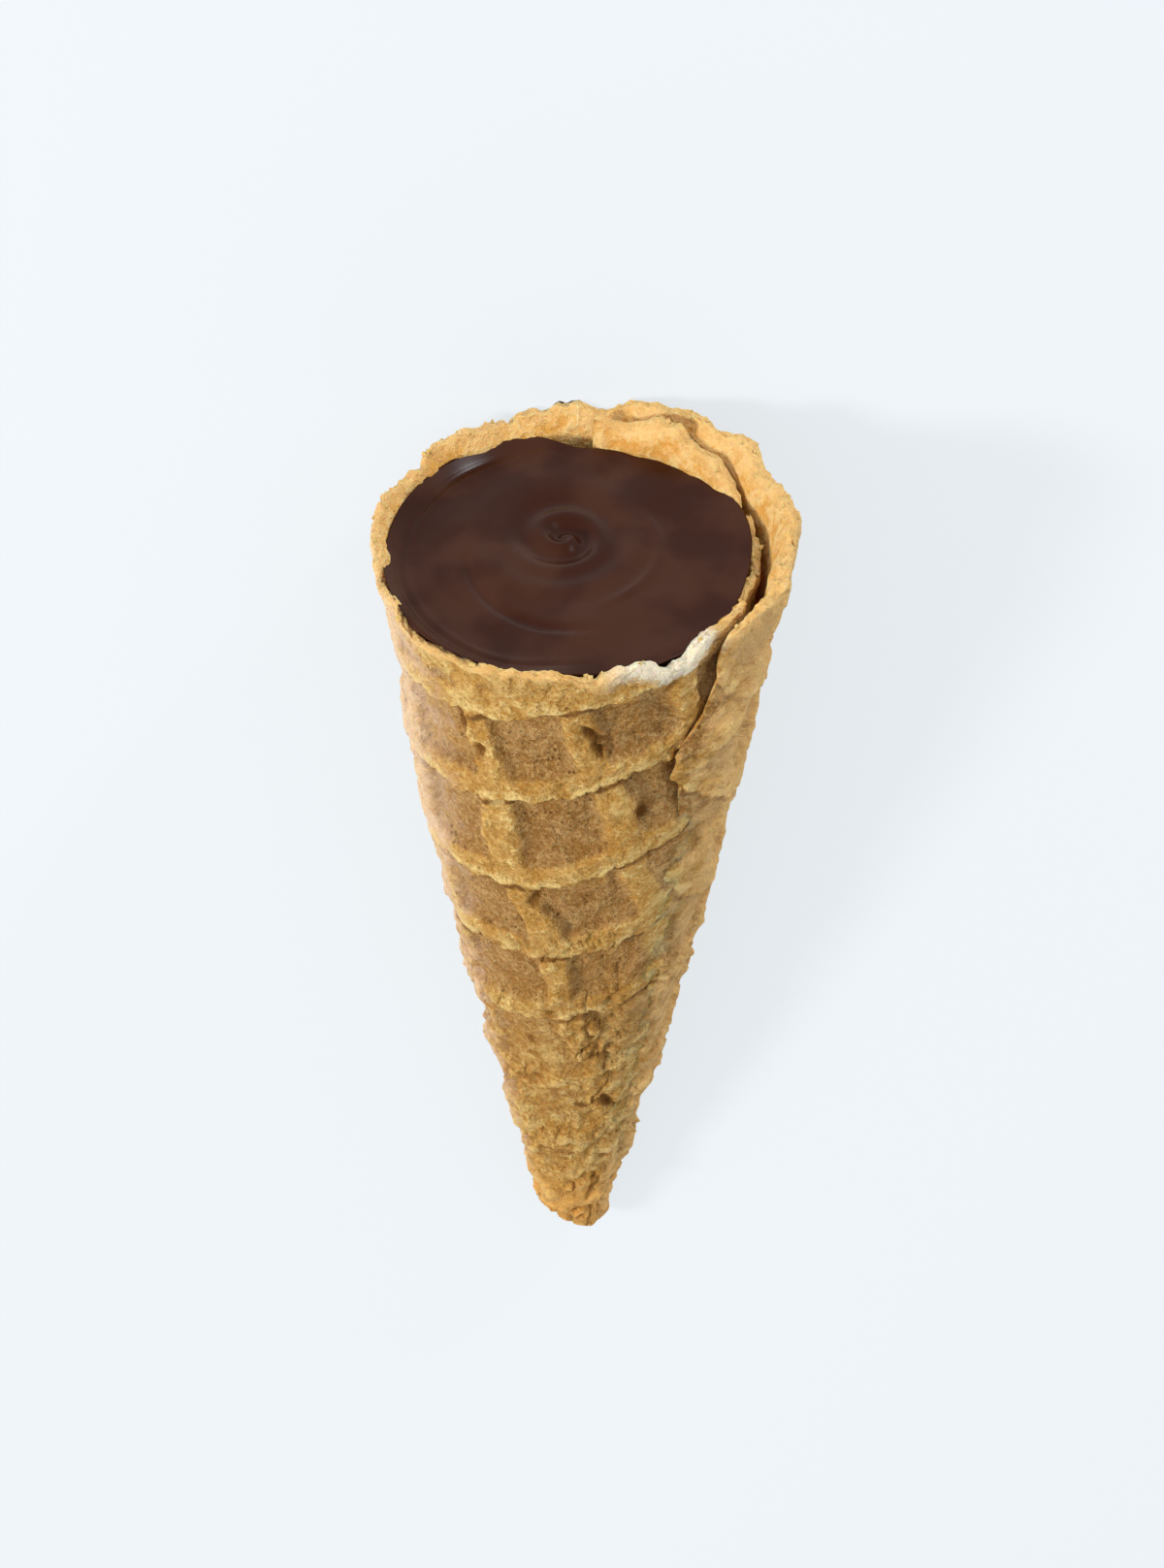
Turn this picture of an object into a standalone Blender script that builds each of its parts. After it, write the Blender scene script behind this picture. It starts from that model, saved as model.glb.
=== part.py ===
"""A rolled waffle cone, filled with dark chocolate and lying on its side.

The wafer is one baked sheet, rolled a turn and a third round its filling. Units are metres, +Z is up,
the mouth faces -Y and the tip +Y. Run with: blender --background --python part.py
"""

import math

import bmesh
import bpy
from mathutils import Vector, noise

MM = 0.001

# The rolled sheet, measured down the cone's axis from the plane of its rim.
LENGTH = 102.2 * MM  # from the rim's plane to the tip
MOUTH_RADIUS = 21.6 * MM  # outer surface of the outer turn, at the rim
TAPER = 0.135  # how fast that surface draws in below the rim
BELLY = 0.43  # how much faster it draws in for each metre of drop, which rounds the side
FLARE = 0.3 * MM  # the lip's outward turn
FLARE_REACH = 4 * MM
DOME_LENGTH = 7 * MM  # the blunt end of the tip
DOME_POWER = 2.2
TIP_SLOPE = 1.0  # how far a skin under the surface stops short of the tip: inset over this slope
PINHOLE_RADIUS = 0.3 * MM  # what the rolling leaves open on the axis

MOUTH_SHEET = 2.3 * MM  # the sheet's thickness at the rim
TIP_SHEET = 1.3 * MM  # and at the tip, where the roll is pressed
LAYER_GAP = 0.25 * MM  # between the two turns where they overlap
CREVICE = 0.9 * MM  # how far the turns part at the mouth
CREVICE_AT = math.radians(78)
CREVICE_HALF_WIDTH = math.radians(38)
CREVICE_DEPTH = 9 * MM

# A turn angle is 0 on the shown side, which lies uppermost, and grows towards -X.
INNER_END = math.radians(175)  # where the sheet starts, against the filling
OUTER_END = math.radians(-316)  # where it ends, a turn and a third later, on the outside
LIFT_START = math.radians(60)  # between these the sheet climbs from the inner turn to the outer one
LIFT_END = math.radians(-170)
TIP_LIFT_END = math.radians(-40)  # the climb is over sooner in the pressed tip
TIP_LIFT_REACH = 24 * MM
MOUTH_SHIFT = 1.05 * MM  # the roll leans a little: its centre at the rim, towards -X
LEAN = 0.02

# Where the sheet's outer edge lies, as (drop, turn angle left before a full turn), and the rim's drop.
SEAM = (
    (0, 45), (8, 46), (12, 41), (16, 33), (18.5, 31), (21.5, 38), (28, 36), (34, 34), (60, 32), (80, 28), (103, 25),
)
RIM = (
    (175, -0.9), (150, -1.0), (132, -0.2), (116, 1.6), (100, 2.6), (80, 2.6), (62, 1.9), (44, 0.8), (28, 1.7),
    (12, 1.0), (-8, 0.8), (-30, 1.4), (-46, 2.3), (-60, 2.9), (-78, 1.5), (-105, 0.7), (-135, 0.6), (-158, 0.2),
    (-182, -0.3), (-205, -1.1), (-228, -1.2), (-250, -0.6), (-270, -2.1), (-287, -1.2), (-302, 0.1), (-316, 1.0),
)

# The waffle pattern, on the sheet laid flat.
PITCH = 12.35 * MM
GRID_TURN = math.radians(14)
GRID_ACROSS = 2.3 * MM  # a crossing of two ribs, from the top line of the cone
GRID_DOWN = 17.4 * MM  # and from the rim
CELL_DEPTH = 1.2 * MM
RIB_HALF_WIDTH = 1.1 * MM
RIB_SLOPE = 1.5 * MM
ROLL_HALF_ANGLE = math.radians(9.8)
PATTERN_END = 70 * MM  # below this the roll has pressed the ribs flat
LUMP_SIZE = 7 * MM
LUMP_HEIGHT = 0.3 * MM

# The filling.
FILL_DROP = 1.6 * MM  # the chocolate's level below the rim's plane
FILL_SHOULDER = 0.8 * MM
FILL_END = 82 * MM
FILL_STEP = math.radians(18)  # past the sheet's inner end the filling steps out to the outer turn
CLEARANCE = 0.3 * MM

# How the cone lies: tilted until its underside is level, and rubbed flat where it touches.
REST_TILT = math.radians(10.0)
AXIS_HEIGHT = 21.0 * MM  # of the rim's centre
UNDERSIDE_SAG = 0.25  # how much of the belly the underside gives up, for each metre of drop squared
UNDERSIDE_SPAN = 90 * MM

# How finely each surface is divided.
SHEET_COLUMNS = 80
SKIN_ROWS = 41
RIM_ROWS = 4
INSIDE_ROWS = 7
ROW_CROWDING = 0.8  # 0 spreads the rows evenly, and 1 draws them right in at both ends
END_COLUMNS = 2
FILL_COLUMNS = 40
FILL_ROWS = 9
TOP_ROWS = 3


def smooth(x):
    """Rises from 0 to 1 as x does, level at both ends."""
    x = min(max(x, 0.0), 1.0)
    return x * x * (3 - 2 * x)


def along(points, x):
    """The height at x of a smooth line through (x, height) points, given in either order of x."""
    ordered = sorted(points)
    if x <= ordered[0][0]:
        return ordered[0][1]
    for (x0, y0), (x1, y1) in zip(ordered, ordered[1:]):
        if x <= x1:
            return y0 + (y1 - y0) * smooth((x - x0) / (x1 - x0))
    return ordered[-1][1]


def sheet_thickness(drop):
    return MOUTH_SHEET + (TIP_SHEET - MOUTH_SHEET) * drop / LENGTH


def layer_gap(turn, drop):
    off_centre = (math.remainder(turn - CREVICE_AT, math.tau)) / CREVICE_HALF_WIDTH
    return LAYER_GAP + CREVICE * smooth(1 - abs(off_centre)) * math.exp(-((max(drop, 0) / CREVICE_DEPTH) ** 2))


def outer_inset(turn, drop):
    """How far the sheet's outer skin lies under the outer turn's surface."""
    end = LIFT_END + (TIP_LIFT_END - LIFT_END) * smooth(1 - (LENGTH - drop) / TIP_LIFT_REACH)
    lifted = smooth((LIFT_START - turn) / (LIFT_START - end))
    return (sheet_thickness(drop) + layer_gap(turn, drop)) * (1 - lifted)


def skin_end(inset):
    """The drop at which a skin closes over the tip."""
    return LENGTH - inset / TIP_SLOPE


def radius(turn, drop, inset, closes):
    """Distance from the axis of a point on a skin that closes over the tip at that drop."""
    open_radius = MOUTH_RADIUS - TAPER * drop - BELLY * drop * drop
    open_radius += FLARE * math.exp(-max(drop, 0) / FLARE_REACH)
    under = max(0.0, -math.cos(turn)) ** 2
    open_radius -= UNDERSIDE_SAG * under * max(0.0, drop * (UNDERSIDE_SPAN - drop))
    into_dome = min(max((drop - closes) / DOME_LENGTH + 1, 0), 1)
    dome = math.sqrt(1 - into_dome**DOME_POWER)
    return max((open_radius - inset) * dome, PINHOLE_RADIUS)


def place(turn, drop, from_axis):
    """A point of the cone as it lies on its side."""
    shift = MOUTH_SHIFT - LEAN * drop * smooth((LENGTH - drop) / DOME_LENGTH)
    across = shift + from_axis * math.sin(turn)
    up = from_axis * math.cos(turn)
    cosine, sine = math.cos(REST_TILT), math.sin(REST_TILT)
    return Vector((-across, drop * cosine + up * sine, max(AXIS_HEIGHT - drop * sine + up * cosine, 0)))


def relief(turn, drop):
    """How deep the waffle iron pressed the sheet here, with the ribs left standing."""
    reach = MOUTH_RADIUS / math.sin(ROLL_HALF_ANGLE)
    from_apex = reach - drop / math.cos(ROLL_HALF_ANGLE)
    fan = turn * math.sin(ROLL_HALF_ANGLE)
    across = from_apex * math.sin(fan) - GRID_ACROSS
    down = reach - from_apex * math.cos(fan) - GRID_DOWN
    cosine, sine = math.cos(GRID_TURN), math.sin(GRID_TURN)
    cell = RIB_SLOPE
    for line in (across * cosine - down * sine, across * sine + down * cosine):
        from_rib = abs(math.remainder(line, PITCH)) - RIB_HALF_WIDTH
        cell = min(cell, max(from_rib, 0))
    fade = smooth((LENGTH - drop) / (LENGTH - PATTERN_END))
    return CELL_DEPTH * smooth(cell / RIB_SLOPE) * fade * smooth((drop + MM) / (3 * MM))


def lumps(turn, drop):
    """The uneven set of a baked sheet, which is only ever a hollow under its true surface."""
    spot = Vector((math.cos(turn), math.sin(turn), 0)) * 0.7 * MOUTH_RADIUS + Vector((0, 0, drop + turn * MM))
    return LUMP_HEIGHT * (0.5 + 0.5 * noise.noise(spot / LUMP_SIZE))


def sheet_profile():
    """Rows from the tip up the outer skin, over the rim, down the inner skin and back: (skin, share of height)."""
    rows = [("outside", share) for share in reversed(row_shares(SKIN_ROWS))]
    rows += [("rim", (i + 1) / (RIM_ROWS + 1)) for i in range(RIM_ROWS)]
    rows += [("inside", share) for share in row_shares(INSIDE_ROWS)]
    return [*rows, rows[0]]


def row_shares(count):
    """Shares from 0 to 1, closer together at the rim and where the skin rounds in at the tip."""
    steps = [i / count for i in range(count + 1)]
    return [step - ROW_CROWDING * math.sin(math.tau * step) / math.tau for step in steps]


def sheet_turn(share, drop):
    """Turn angle of a column of the sheet, whose outer edge follows the seam."""
    seam = math.radians(along(SEAM, drop / MM)) - math.tau
    nominal = INNER_END + (OUTER_END - INNER_END) * share
    pull = smooth((share - 0.8) / 0.2)
    return nominal + (seam - OUTER_END) * pull


def sheet_point(column, row):
    """A point of the sheet's skin. The columns at its two ends draw together into a rounded edge."""
    skin, share = row
    nominal = INNER_END + (OUTER_END - INNER_END) * column
    rim = along(RIM, math.degrees(nominal)) * MM
    insets = [outer_inset(nominal, LENGTH)]
    insets.append(insets[0] + TIP_SHEET)
    closes = [skin_end(inset) for inset in insets]
    side = 1 if skin == "inside" else 0
    drop = rim if skin == "rim" else rim + share * (closes[side] - rim)
    turn = sheet_turn(column, drop)
    thickness = sheet_thickness(drop)
    outer = outer_inset(turn, drop) + relief(turn, drop) + lumps(turn, drop)
    inner = outer_inset(turn, drop) + thickness
    from_end = min(column, 1 - column) * SHEET_COLUMNS / END_COLUMNS
    drawn = 0.42 * (1 - smooth(from_end) ** 0.5)
    outer, inner = outer + drawn * (inner - outer), inner - drawn * (inner - outer)
    if skin == "rim":
        over = share * math.pi
        inset = outer + (inner - outer) * (1 - math.cos(over)) / 2
        drop -= 0.3 * (inner - outer) * math.sin(over)
        return place(turn, drop, radius(turn, drop, inset, LENGTH))
    inset = inner if side else outer
    return place(turn, drop, radius(turn, drop, inset, closes[side]))


def filling_inset(turn, drop):
    """How far the filling's side lies under the outer turn's surface: the wafer's inner face and a clearance."""
    wrapped = math.remainder(turn, math.tau)
    if wrapped > INNER_END:
        wrapped -= math.tau
    inside = outer_inset(wrapped, drop) + sheet_thickness(drop)
    inner_turn = outer_inset(INNER_END, drop) + sheet_thickness(drop)
    past_end = (wrapped + math.tau - INNER_END) / FILL_STEP
    step = smooth(1.15 - past_end)
    return inside + (inner_turn - inside) * step + CLEARANCE


def filling_point(around, row):
    """A point of the filling: its level top, its shoulder and its side down to the point."""
    part, share = row
    turn = INNER_END - around * math.tau
    if part == "top":
        edge = radius(turn, FILL_DROP, filling_inset(turn, FILL_DROP) + FILL_SHOULDER, FILL_END)
        return place(turn, FILL_DROP, edge * share)
    drop = FILL_DROP + FILL_SHOULDER + share * (FILL_END - FILL_DROP - FILL_SHOULDER)
    side = radius(turn, drop, filling_inset(turn, drop), FILL_END)
    return place(turn, drop, 0 if share == 1 else side)


def rolled_grid(columns, rows, point):
    """A grid whose vertices are carried to point(share of the columns, row), and welded where they meet."""
    mesh = bmesh.new()
    bmesh.ops.create_grid(mesh, x_segments=columns, y_segments=len(rows) - 1, size=1)
    for vert in mesh.verts:
        row = round((vert.co.y + 1) / 2 * (len(rows) - 1))
        vert.co = point((vert.co.x + 1) / 2, rows[row])
    bmesh.ops.remove_doubles(mesh, verts=mesh.verts, dist=1e-7)
    return mesh


def wafer_material():
    return plain_material("waffle", (0.62, 0.36, 0.14), 0.75)


def chocolate_material():
    return plain_material("dark_chocolate", (0.052, 0.022, 0.016), 0.3)


def plain_material(name, colour, roughness):
    material = bpy.data.materials.new(name)
    material.use_nodes = True
    shader = material.node_tree.nodes["Principled BSDF"]
    shader.inputs["Base Color"].default_value = (*colour, 1)
    shader.inputs["Roughness"].default_value = roughness
    shader.inputs["Metallic"].default_value = 0
    material.diffuse_color = (*colour, 1)
    return material


def make_object(name, mesh, material, collection):
    """Turns a bmesh into a shaded object."""
    bmesh.ops.recalc_face_normals(mesh, faces=mesh.faces)
    data = bpy.data.meshes.new(name)
    mesh.to_mesh(data)
    mesh.free()
    data.materials.append(material)
    data.shade_smooth()
    data.set_sharp_from_angle(angle=math.radians(50))
    made = bpy.data.objects.new(name, data)
    collection.objects.link(made)
    return made


def make_wafer(collection):
    """The rolled sheet: one skin wrapped over the rim, with its two long ends closed."""
    mesh = rolled_grid(SHEET_COLUMNS, sheet_profile(), sheet_point)
    open_edges = [edge for edge in mesh.edges if edge.is_boundary]
    bmesh.ops.holes_fill(mesh, edges=open_edges, sides=0)
    return make_object("waffle_cone", mesh, wafer_material(), collection)


def make_filling(collection):
    rows = [("top", i / TOP_ROWS) for i in range(TOP_ROWS + 1)]
    rows += [("side", (i / FILL_ROWS) ** 0.9) for i in range(FILL_ROWS + 1)]
    mesh = rolled_grid(FILL_COLUMNS, rows, filling_point)
    return make_object("chocolate_filling", mesh, chocolate_material(), collection)


def stand_on_origin(objects):
    """Moves the meshes so that the middle of their box is over the origin."""
    corners = [vert.co for made in objects for vert in made.data.vertices]
    middle = [(min(c[i] for c in corners) + max(c[i] for c in corners)) / 2 for i in range(2)]
    for made in objects:
        for vert in made.data.vertices:
            vert.co -= Vector((*middle, 0))
    print(f"the rim's centre is moved by {-middle[0] / MM:.3f}, {-middle[1] / MM:.3f} mm")


def main():
    for old in list(bpy.data.objects):
        bpy.data.objects.remove(old)
    collection = bpy.data.collections.new("filled_waffle_cone")
    bpy.context.scene.collection.children.link(collection)
    stand_on_origin([make_wafer(collection), make_filling(collection)])


main()
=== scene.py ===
"""Looks of a rolled waffle cone filled with dark chocolate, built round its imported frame.

The wafer is one sheet: a fine grid carried round the roll, with the waffle iron's ribs, blow holes and torn
rim pressed into it. Lengths are metres, and MM turns millimetres into them.
"""

import math
import random

import bmesh
import bpy
from bpy.props import FloatProperty, FloatVectorProperty, IntProperty, PointerProperty
from bpy.types import Operator, Panel, PropertyGroup
from mathutils import Matrix, Quaternion, Vector, noise


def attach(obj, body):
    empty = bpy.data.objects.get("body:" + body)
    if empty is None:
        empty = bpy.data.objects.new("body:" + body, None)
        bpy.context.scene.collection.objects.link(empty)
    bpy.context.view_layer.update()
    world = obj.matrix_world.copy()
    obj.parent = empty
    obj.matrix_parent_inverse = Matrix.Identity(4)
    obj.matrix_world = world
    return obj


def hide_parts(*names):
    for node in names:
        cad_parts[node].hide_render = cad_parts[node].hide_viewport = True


bl_info = {
    "name": "Filled waffle cone",
    "version": (1, 0),
    "blender": (4, 5, 0),
    "location": "3D View > Sidebar > Cone",
    "description": "Builds a rolled waffle cone filled with chocolate",
    "category": "Add Mesh",
}

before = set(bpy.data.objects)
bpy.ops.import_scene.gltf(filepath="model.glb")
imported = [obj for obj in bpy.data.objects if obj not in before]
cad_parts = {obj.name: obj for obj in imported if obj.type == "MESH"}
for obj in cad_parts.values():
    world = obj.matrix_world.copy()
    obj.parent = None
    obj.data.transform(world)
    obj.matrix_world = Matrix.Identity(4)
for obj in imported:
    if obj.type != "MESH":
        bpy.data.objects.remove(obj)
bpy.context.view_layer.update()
MM = 0.001

# The rolled sheet, as its solid has it: drops run down the cone's axis from the rim's plane.
LENGTH = 102.2 * MM
MOUTH_RADIUS = 21.6 * MM
TAPER = 0.135
BELLY = 0.43
FLARE = 0.3 * MM
FLARE_REACH = 4 * MM
DOME_LENGTH = 7 * MM
DOME_POWER = 2.2
TIP_SLOPE = 1.0
PINHOLE_RADIUS = 0.05 * MM
MOUTH_SHEET = 2.3 * MM
TIP_SHEET = 1.3 * MM
LAYER_GAP = 0.15 * MM
CREVICE = 0.9 * MM
CREVICE_AT = math.radians(78)
CREVICE_HALF_WIDTH = math.radians(38)
CREVICE_DEPTH = 9 * MM
INNER_END = math.radians(175)
OUTER_START = math.radians(44)  # where the sheet comes out from under its own outer end
OUTER_END = math.radians(-316)
LIFT_START = math.radians(60)  # at the mouth the sheet climbs between these turn angles
LIFT_END = math.radians(-170)
PRESSED_START = math.radians(128)  # and between these, where the roll is pressed tight
PRESSED_END = math.radians(-60)
PRESSED_FROM = 14 * MM
PRESSED_TO = 30 * MM
SEAM_GAP = 0.2 * MM  # under the outer edge at the mouth
FEATHER = math.radians(24)  # how far back from that edge the pressed roll is rubbed thin
RIM_SHARE = 0.62  # the torn rim is this share of the sheet's thickness
RIM_REACH = 1.4 * MM  # and thickens over this far
RIM_SWAY = 0.8 * MM  # how far the torn rim bends in and out
FLAP_EDGE = math.radians(50)  # how far back from the outer edge the iron's pattern is faint
MOUTH_SHIFT = 1.05 * MM
LEAN = 0.02
REST_TILT = math.radians(10.0)
RIM_CENTRE = Vector((1.799, -47.841, 21.0)) * MM
UNDERSIDE_SAG = 0.25
UNDERSIDE_SPAN = 90 * MM

# (drop, turn angle) of the outer edge, and (turn angle, drop) of the rim, in millimetres and degrees.
SEAM = (
    (0, 45), (8, 46), (12, 41), (16, 33), (18.5, 31), (21.5, 38), (28, 36), (34, 34), (60, 32), (78, 34),
    (86, 48), (92, 72), (103, 95),
)
RIM = (
    (175, -0.9), (150, -1.0), (132, -0.2), (116, 1.6), (100, 2.6), (80, 2.6), (62, 1.9), (44, 0.8),
    (28, 1.7), (12, 1.0), (-8, 0.8), (-30, 1.4), (-46, 2.3), (-60, 2.9), (-78, 1.5), (-105, 0.7),
    (-135, 0.6), (-158, 0.2), (-182, -0.3), (-205, -1.1), (-228, -1.2), (-250, -0.6), (-270, -2.1),
    (-287, -1.2), (-302, 0.1), (-316, 1.0),
)

# The iron's pattern, on the sheet laid flat: across from the cone's top line, and down from the rim.
GRID_TURN = math.radians(14)
GRID_ACROSS = 2.3 * MM
GRID_DOWN = 17.4 * MM
ROLL_HALF_ANGLE = math.radians(9.8)
PATTERN_END = 70 * MM
TIP_SIDE_SLOPE = 0.6 * MM  # the steep side of a rib
MOUTH_SIDE_SLOPE = 2.4 * MM  # and its easy side
COLUMN_SLOPE = 1.5 * MM
GRID_WANDER = 1.5 * MM
WANDER_SIZE = 11 * MM

# Blow holes: across, down, half width, half length, lean from the cone's line in degrees, depth; millimetres.
HOLES = (
    (-14.4, 12.3, 0.75, 2.0, 8, 1.3), (-12.0, 15.8, 0.6, 1.2, 20, 1.2), (1.1, 10.1, 0.55, 1.5, -38, 1.2),
    (1.8, 12.6, 0.5, 1.3, -30, 1.1), (7.2, 24.4, 0.75, 0.8, 0, 1.2), (-4.8, 36.2, 0.5, 1.3, 15, 1.1),
    (-11.0, 63.6, 0.6, 0.9, 30, 0.9), (-5.5, 63.2, 0.5, 0.8, -20, 0.8), (3.7, 75.2, 0.6, 1.5, -35, 1.3),
    (0.5, 75.4, 0.45, 1.1, -60, 0.9),
)

# The filling.
FILL_DROP = 1.6 * MM
FILL_END = 82 * MM
FILL_STEP = math.radians(18)
WALL_OVERLAP = 0.15 * MM  # how far the chocolate soaks into the wafer at its top
WALL_CLEARANCE = 0.6 * MM  # and how far it keeps clear of it below, where nothing shows
WHIRL_CENTRE = Vector((-1.4, -3.1)) * MM  # across, and towards the shown side

# The baked surface: how deep and how broad its unevenness is.
BROAD_LUMPS = 0.42 * MM
BROAD_SIZE = 6 * MM
FINE_LUMPS = 0.29 * MM
FINE_SIZE = 2.1 * MM
TIP_LUMPS = 0.24 * MM  # more of them towards the tip
CRACK_DEPTH = 0.8 * MM
CRACK_SIZE = 2.3 * MM
PIT_DEPTH = 0.9 * MM
PIT_SIZE = 3.1 * MM
RIM_BITES = 1.25 * MM
RIM_BITE_SIZE = 3.9 * MM
RIM_FRAY = 0.5 * MM
EDGE_SIZE = 1.5 * MM  # of the fray on the rim and on the outer edge
EDGE_BITES = 0.9 * MM
EDGE_BITE_SIZE = 3.3 * MM
THINNEST = 0.12 * MM  # the least wall, but for its rounded ends
KEPT_UNDER_CELLS = 0.35 * MM  # the wall that the cells leave where it is thick enough

RIM_ROWS = 9
INSIDE_ROWS = 26
INNER_COLUMNS = 62
END_COLUMNS = 3
TOP_ROWS = 84
FILL_ROWS = 12


def smooth(x):
    """Rises from 0 to 1 as x does, level at both ends."""
    x = min(max(x, 0.0), 1.0)
    return x * x * (3 - 2 * x)


def along(points, x):
    """The height at x of a smooth line through (x, height) points."""
    ordered = sorted(points)
    if x <= ordered[0][0]:
        return ordered[0][1]
    for (x0, y0), (x1, y1) in zip(ordered, ordered[1:]):
        if x <= x1:
            return y0 + (y1 - y0) * smooth((x - x0) / (x1 - x0))
    return ordered[-1][1]


def sheet_thickness(drop):
    return MOUTH_SHEET + (TIP_SHEET - MOUTH_SHEET) * drop / LENGTH


def layer_gap(turn, drop):
    off_centre = math.remainder(turn - CREVICE_AT, math.tau) / CREVICE_HALF_WIDTH
    fading = math.exp(-((max(drop, 0) / CREVICE_DEPTH) ** 2))
    return LAYER_GAP + CREVICE * smooth(1 - abs(off_centre)) * fading


def outer_inset(turn, drop):
    """How far the sheet's outer skin lies under the outer turn's surface."""
    tight = smooth((drop - PRESSED_FROM) / (PRESSED_TO - PRESSED_FROM))
    start = LIFT_START + (PRESSED_START - LIFT_START) * tight
    end = LIFT_END + (PRESSED_END - LIFT_END) * tight
    lifted = smooth((start - turn) / (start - end))
    return (sheet_thickness(drop) + layer_gap(turn, drop)) * (1 - lifted)


def inner_inset(turn, drop, below_rim):
    """How far its inner skin lies under that surface. The outer end is pressed thin on the turn below it."""
    own = outer_inset(turn, drop)
    thickness = sheet_thickness(drop) * (1 - 0.2 * smooth(-math.sin(turn) * 1.4))
    thickness *= RIM_SHARE + (1 - RIM_SHARE) * smooth(below_rim / RIM_REACH)
    room = outer_inset(turn + math.tau, drop) - LAYER_GAP
    return own + (min(thickness, max(room, 0.15 * MM)) if turn < -math.pi else thickness)


def skin_end(inset):
    return LENGTH - inset / TIP_SLOPE


def radius(turn, drop, inset, closes):
    """Distance from the axis of a point on a skin that closes over the tip at that drop."""
    open_radius = MOUTH_RADIUS - TAPER * drop - BELLY * drop * drop
    open_radius += FLARE * math.exp(-max(drop, 0) / FLARE_REACH)
    under = max(0.0, -math.cos(turn)) ** 2
    open_radius -= UNDERSIDE_SAG * under * max(0.0, drop * (UNDERSIDE_SPAN - drop))
    into_dome = min(max((drop - closes) / DOME_LENGTH + 1, 0), 1)
    dome = math.sqrt(1 - into_dome**DOME_POWER)
    return max((open_radius - inset) * dome, PINHOLE_RADIUS)


def place(turn, drop, from_axis):
    """A point of the cone as it lies on its side."""
    shift = MOUTH_SHIFT - LEAN * drop * smooth((LENGTH - drop) / DOME_LENGTH)
    across = shift + from_axis * math.sin(turn)
    up = from_axis * math.cos(turn)
    cosine, sine = math.cos(REST_TILT), math.sin(REST_TILT)
    lying = Vector((-across, drop * cosine + up * sine, up * cosine - drop * sine)) + RIM_CENTRE
    lying.z = max(lying.z, 0)
    return lying


def flat_place(turn, drop):
    """Across and down on the sheet laid flat, which is a sector of a disc."""
    reach = MOUTH_RADIUS / math.sin(ROLL_HALF_ANGLE)
    from_apex = reach - drop / math.cos(ROLL_HALF_ANGLE)
    fan = turn * math.sin(ROLL_HALF_ANGLE)
    return Vector((from_apex * math.sin(fan), reach - from_apex * math.cos(fan), 0))


def grid_place(flat, pitch):
    """Where a flat point lies in the waffle grid, in whole ribs: columns, then rows towards the tip."""
    wander = noise.noise_vector(flat / WANDER_SIZE) * GRID_WANDER
    x, y = flat.x + wander.x - GRID_ACROSS, flat.y + wander.y - GRID_DOWN
    cosine, sine = math.cos(GRID_TURN), math.sin(GRID_TURN)
    return (x * cosine - y * sine) / pitch, (x * sine + y * cosine) / pitch


def pressed(column, row, pitch, half_width):
    """How far the iron pressed a point of the grid: 0 on a rib, 1 on a cell's floor."""
    from_column = abs(column - round(column)) * pitch - half_width
    from_row = (row - round(row)) * pitch
    if from_row > 0:
        row_share = smooth((from_row - half_width) / TIP_SIDE_SLOPE)
    else:
        row_share = smooth((-from_row - half_width) / MOUTH_SIDE_SLOPE)
    return smooth(from_column / COLUMN_SLOPE) * row_share


def hole_distance(flat):
    """Distance to the nearest blow hole's edge, negative inside it, and that hole's depth."""
    nearest, deep = 3 * MM, 0.0
    ragged = 0.22 * MM * noise.noise(flat / (0.9 * MM))
    for across, down, half_width, half_length, lean, depth in HOLES:
        x, y = flat.x - across * MM, flat.y - down * MM
        if abs(x) + abs(y) > 6 * MM:
            continue
        cosine, sine = math.cos(math.radians(lean)), math.sin(math.radians(lean))
        u, v = (x * cosine + y * sine) / (half_width * MM), (y * cosine - x * sine) / (half_length * MM)
        distance = (math.hypot(u, v) - 1) * half_width * MM + ragged
        if distance < nearest:
            nearest, deep = distance, depth * MM
    return nearest, deep


def lumps(spot, drop):
    """The uneven set of a baked sheet, in broad lumps and fine crumbs."""
    broad = BROAD_LUMPS * (0.4 + 0.6 * noise.noise(spot / BROAD_SIZE))
    fine = FINE_LUMPS + TIP_LUMPS * smooth((drop - 40 * MM) / (20 * MM))
    return broad + fine * noise.fractal(spot / FINE_SIZE, 0.75, 2.2, 3)


def cracks(flat, drop):
    """Slanting cracks in the pressed surface."""
    slant = Vector((flat.x * 0.82 + flat.y * 0.57, (flat.y * 0.82 - flat.x * 0.57) * 0.35, 0))
    line = abs(noise.noise(slant / CRACK_SIZE + noise.noise_vector(flat / (2 * MM)) * 0.2))
    there = smooth((noise.noise(flat / (6 * MM) + Vector((9, 4, 2))) + 0.2) / 0.3)
    there *= 0.35 + 0.65 * smooth((drop - 38 * MM) / (18 * MM))
    return CRACK_DEPTH * there * smooth(1 - line / 0.11)


def pits(flat, drop):
    """Small slanting pits and slits, thickest towards the tip."""
    thick = 0.25 + 0.75 * smooth((drop - 42 * MM) / (20 * MM))
    spot = Vector((flat.x + 0.5 * flat.y, flat.y * 1.9, 0)) / PIT_SIZE
    near = noise.voronoi(spot + noise.noise_vector(spot * 1.3) * 0.25)[0][0]
    there = smooth((noise.noise(flat / (5.5 * MM)) + 0.45 * thick) / 0.35)
    return PIT_DEPTH * thick * there * smooth((0.36 - near) / 0.22)


def rim_drop(turn, spot):
    """The torn rim's drop: its broad shape, the bits torn out of it, and its fray."""
    torn = RIM_BITES * noise.noise(spot / RIM_BITE_SIZE)
    fray = RIM_FRAY * noise.fractal(spot / EDGE_SIZE, 0.7, 2.2, 3)
    return along(RIM, math.degrees(turn)) * MM + torn + fray


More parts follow.
